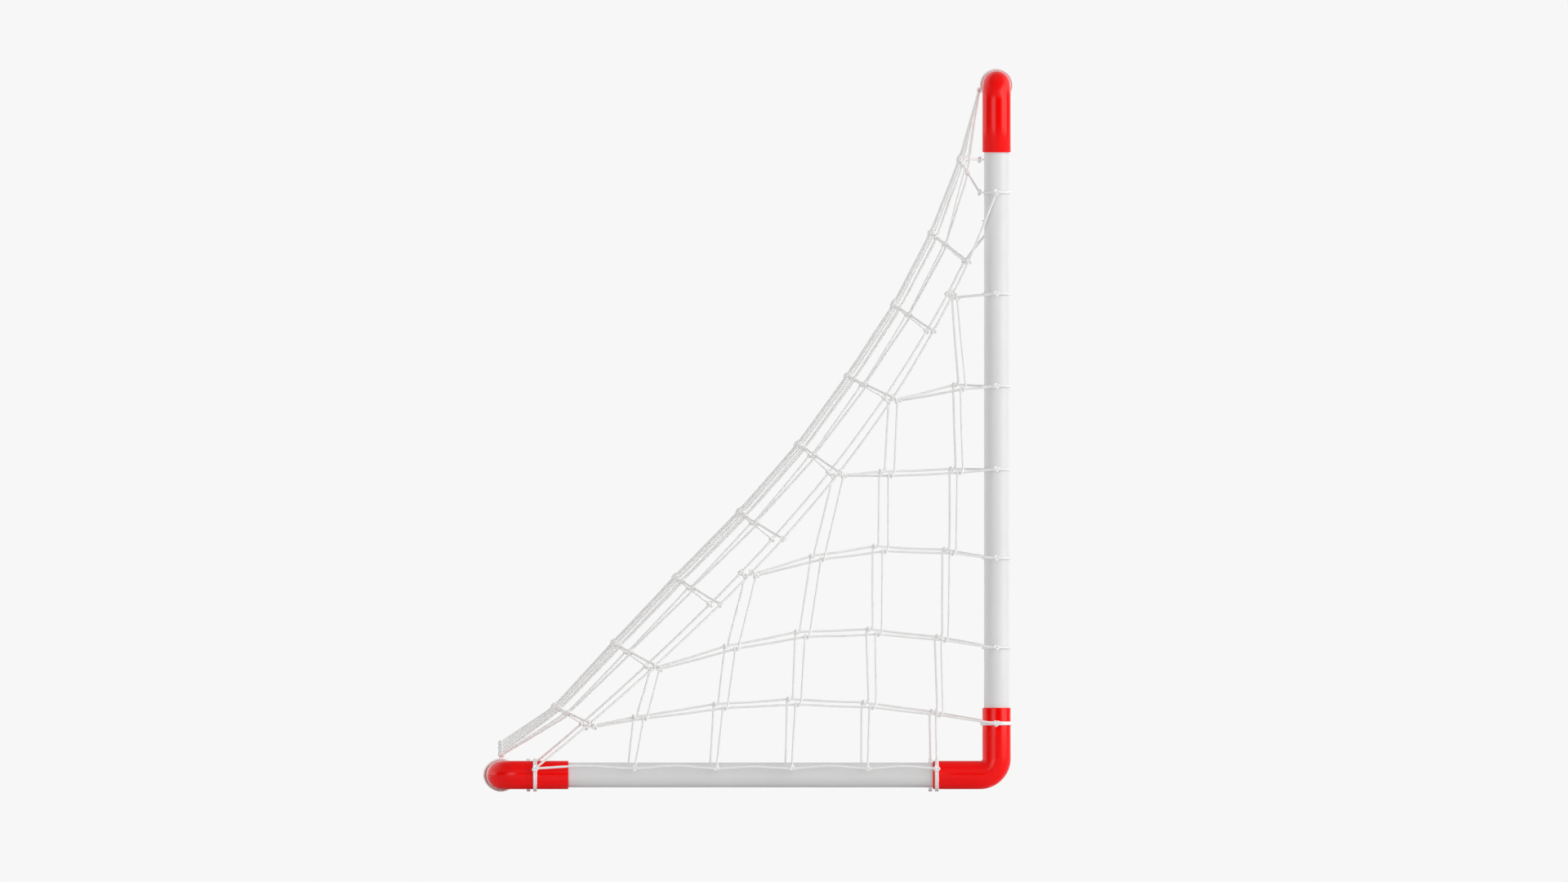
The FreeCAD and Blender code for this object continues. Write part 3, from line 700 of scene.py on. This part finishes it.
# The first word that is in a CAD node's name gives its material
NODE_SLOTS = {"elbow": "red_elbow", "lashing": "lashing_cord", "cord": "border_cord", "net": "net_cord"}
for node_name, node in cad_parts.items():
    kind = next((slot for word, slot in NODE_SLOTS.items() if word in node_name), "white_pipe")
    node.data.materials.clear()
    node.data.materials.append(MATERIALS[kind])


# ---------------------------------------------------------------- studio

FLOOR_REACH, FLOOR_SCALE = 30, 0.8       # in metres, as all lengths of the studio
FLOOR_TONES = [(0.2, (0.90, 0.90, 0.90)), (0.8, (0.93, 0.93, 0.93))]


def build_floor():
    mesh = bpy.data.meshes.new("floor")
    corners = [(x * FLOOR_REACH, y * FLOOR_REACH, 0) for x, y in ((-1, -1), (1, -1), (1, 1), (-1, 1))]
    mesh.from_pydata(corners, [], [(0, 1, 2, 3)])
    material, nodes, links, shader = new_material("floor_paint")
    tone = ramp(nodes, links, noise(nodes, links, FLOOR_SCALE), FLOOR_TONES)
    links.new(tone, shader.inputs["Base Color"])
    shader.inputs["Roughness"].default_value = 0.85
    shader.inputs["Specular IOR Level"].default_value = 0.1
    mesh.materials.append(material)
    floor = bpy.data.objects.new("floor", mesh)
    bpy.context.scene.collection.objects.link(floor)


def math_node(nodes, links, operation, value, *numbers):
    """A maths node whose inputs are the values, each a socket or a number."""
    node = nodes.new("ShaderNodeMath")
    node.operation = operation
    for socket, given in zip(node.inputs, (value,) + numbers):
        if isinstance(given, (int, float)):
            socket.default_value = given
        else:
            links.new(given, socket)
    return node.outputs["Value"]


# Brightness of the studio's walls, by degrees round from the -X side; -Y is at -90 and +Y at 90
LOW_WALLS = [(-180, 0.93), (-132, 0.93), (-118, 0.15), (-100, 0.12), (-92, 1.6), (-82, 3.0), (-50, 3.2),
             (-40, 0.8), (-32, 0.05), (0, 0.05), (8, 0.9), (16, 2.8), (32, 2.8), (42, 0.8), (52, 0.1),
             (84, 0.1), (94, 1.6), (112, 1.8), (132, 0.93), (180, 0.93)]
HIGH_WALLS = [(-180, 0.5), (-140, 0.6), (-112, 1.4), (-92, 2.2), (-72, 2.6), (-52, 2.2), (-36, 1.4),
              (-20, 0.9), (0, 0.6), (22, 0.5), (40, 0.4), (60, 0.4), (82, 0.6), (98, 1.0), (128, 1.1),
              (150, 0.9), (180, 0.5)]
# How high the high walls and the ceiling come in, as the upward part of a direction
HIGH_EDGE, CEILING_EDGE, CEILING_LIGHT = (0.15, 0.42), (0.60, 0.84), 0.3
STUDIO_LIGHT = 3.2      # the brightest wall, which no value above may pass
KEY_PLACE, KEY_TARGET, KEY_SIZE, KEY_POWER = (-3.2, -3.2, 3.0), (-0.9, 0, 0.5), (2.0, 2.0), 14
CAMERA_PLACE, VIEW_WIDTH, VIEW_DEPTH = (-6, -0.0596, 0.5952), 2.6615, 100
MIX_LOW, MIX_HIGH, MIX_RESULT = 6, 7, 2  # the colour sockets of a Mix node


def area_light(name, location, target, size, energy):
    data = bpy.data.lights.new(name, "AREA")
    data.shape, data.size, data.size_y, data.energy = "RECTANGLE", size[0], size[1], energy
    light = bpy.data.objects.new(name, data)
    light.location = location
    light.rotation_euler = (Vector(target) - Vector(location)).to_track_quat("-Z", "Y").to_euler()
    bpy.context.scene.collection.objects.link(light)


def compass_ramp(nodes, links, share, stops):
    """Brightness by compass direction."""
    node = nodes.new("ShaderNodeValToRGB")
    links.new(share, node.inputs["Fac"])
    elements = node.color_ramp.elements
    for number, (degrees, light) in enumerate(stops):
        place = degrees / 360 + 0.5
        element = elements[number] if number < 2 else elements.new(place)
        element.position, element.color = place, (light / STUDIO_LIGHT,) * 3 + (1,)
    return node.outputs["Color"]


def rising_mix(nodes, links, height, edge, low, high):
    """Goes over from the low colour to the high one between two heights; high is a socket or a colour."""
    rise = nodes.new("ShaderNodeMapRange")
    rise.interpolation_type = "SMOOTHSTEP"
    rise.inputs["From Min"].default_value, rise.inputs["From Max"].default_value = edge
    links.new(height, rise.inputs["Value"])
    mix = nodes.new("ShaderNodeMix")
    mix.data_type = "RGBA"
    links.new(rise.outputs["Result"], mix.inputs["Factor"])
    links.new(low, mix.inputs[MIX_LOW])
    if isinstance(high, tuple):
        mix.inputs[MIX_HIGH].default_value = high
    else:
        links.new(high, mix.inputs[MIX_HIGH])
    return mix.outputs[MIX_RESULT]


def build_world():
    """A studio as it looks from the object: pale walls with bright softboxes and dark gaps, and a ceiling."""
    world = bpy.data.worlds.new("studio")
    bpy.context.scene.world = world
    world.use_nodes = True
    nodes, links = world.node_tree.nodes, world.node_tree.links
    where, split = nodes.new("ShaderNodeTexCoord"), nodes.new("ShaderNodeSeparateXYZ")
    links.new(where.outputs["Generated"], split.inputs["Vector"])
    flip = math_node(nodes, links, "MULTIPLY", split.outputs["X"], -1)
    compass = math_node(nodes, links, "ARCTAN2", split.outputs["Y"], flip)
    share = math_node(nodes, links, "MULTIPLY_ADD", compass, 1 / (2 * math.pi), 0.5)
    low_walls = compass_ramp(nodes, links, share, LOW_WALLS)
    high_walls = compass_ramp(nodes, links, share, HIGH_WALLS)
    walls = rising_mix(nodes, links, split.outputs["Z"], HIGH_EDGE, low_walls, high_walls)
    ceiling = (CEILING_LIGHT / STUDIO_LIGHT,) * 3 + (1,)
    colour = rising_mix(nodes, links, split.outputs["Z"], CEILING_EDGE, walls, ceiling)
    background = nodes["Background"]
    links.new(colour, background.inputs["Color"])
    background.inputs["Strength"].default_value = STUDIO_LIGHT


def build_camera():
    """A camera without perspective, as the photo shows none, that looks along +X."""
    data = bpy.data.cameras.new("camera")
    data.type, data.ortho_scale, data.clip_end = "ORTHO", VIEW_WIDTH, VIEW_DEPTH
    camera = bpy.data.objects.new("camera", data)
    camera.location = CAMERA_PLACE
    camera.rotation_euler = (math.pi / 2, 0, -math.pi / 2)
    bpy.context.scene.collection.objects.link(camera)
    bpy.context.scene.camera = camera


build_floor()
build_world()
area_light("key", KEY_PLACE, KEY_TARGET, KEY_SIZE, KEY_POWER)
build_camera()
bpy.context.scene.view_settings.view_transform = "Standard"
